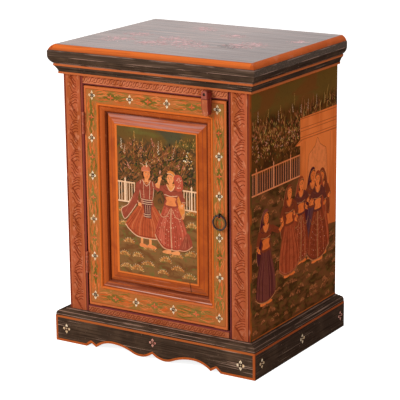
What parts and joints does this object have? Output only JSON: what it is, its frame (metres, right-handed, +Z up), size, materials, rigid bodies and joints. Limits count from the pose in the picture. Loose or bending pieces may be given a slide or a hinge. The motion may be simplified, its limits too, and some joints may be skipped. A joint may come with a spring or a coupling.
{
  "type": "nightstand",
  "caption": "Square bedside cabinet: hinged door with raised panel, ring pull and wooden turn button, under a moulded top, on a plinth with a scalloped front.",
  "frame": {"origin": "on the floor, at the middle of the footprint of top and plinth", "axes": "+Z up, the door faces -Y, +X to the right of someone who looks at the door"},
  "size_m": [0.468, 0.37, 0.61],
  "materials": {
    "top_lacquer": "dark lacquer, worn, satin",
    "black_lacquer": "black lacquer with worn streaks and orange lines",
    "side_paint": "painted garden scene under aged varnish",
    "carved_paint": "red-orange paint over carving, aged varnish",
    "door_paint": "painted floral border under varnish",
    "moulding_paint": "orange paint, varnished",
    "panel_paint": "painted picture within an orange line",
    "bare_wood": "plain sawn wood",
    "painted_hinge": "iron painted over",
    "iron": "dark forged iron"
  },
  "bodies": {
    "case": {"top_board": "top_lacquer", "cornice_front": "black_lacquer", "cornice_left": "black_lacquer", "cornice_right": "black_lacquer", "side_panel_left": "side_paint", "side_panel_right": "side_paint", "back_panel": "bare_wood", "bottom_board": "bare_wood", "bottom_cleat_left": "bare_wood", "bottom_cleat_right": "bare_wood", "shelf": "bare_wood", "shelf_cleat_left": "bare_wood", "shelf_cleat_right": "bare_wood", "top_cleat_left": "bare_wood", "top_cleat_right": "bare_wood", "front_stile_left": "carved_paint", "front_stile_right": "carved_paint", "top_rail": "carved_paint", "bottom_rail": "carved_paint", "plinth_front": "black_lacquer", "plinth_left": "black_lacquer", "plinth_right": "black_lacquer", "plinth_cap_front": "black_lacquer", "plinth_cap_left": "black_lacquer", "plinth_cap_right": "black_lacquer", "door_stop": "bare_wood", "hinge_lower_case_leaf": "painted_hinge", "hinge_upper_case_leaf": "painted_hinge", "hinge_lower_pin": "painted_hinge", "hinge_upper_pin": "painted_hinge", "hinge_screws_case": "iron", "button_screw": "iron"},
    "door": {"door_stile_left": "door_paint", "door_stile_right": "door_paint", "door_rail_head": "door_paint", "door_rail_foot": "door_paint", "door_panel": "panel_paint", "door_moulding_left": "moulding_paint", "door_moulding_right": "moulding_paint", "door_moulding_head": "moulding_paint", "door_moulding_foot": "moulding_paint", "hinge_lower_door_leaf": "painted_hinge", "hinge_upper_door_leaf": "painted_hinge", "hinge_screws_door": "iron", "ring_eye": "iron", "eye_washer": "iron"},
    "turn_button": {"turn_button": "carved_paint"},
    "ring": {"ring_pull": "iron"}
  },
  "joints": [
    {"name": "door_swing", "type": "hinge", "parent": "case", "child": "door", "pos_m": [-0.16425, -0.1669, 0.307], "axis": [0, 0, -1], "range_deg": [0, 170]},
    {"name": "turn_button_swivel", "type": "hinge", "parent": "case", "child": "turn_button", "pos_m": [0.1235, -0.1728, 0.5432], "axis": [0, 1, 0], "range_deg": [-90, 90]},
    {"name": "ring_swing", "type": "hinge", "parent": "door", "child": "ring", "pos_m": [0.148, -0.1695, 0.311], "axis": [-1, 0, 0], "range_deg": [-5, 165]}
  ]
}
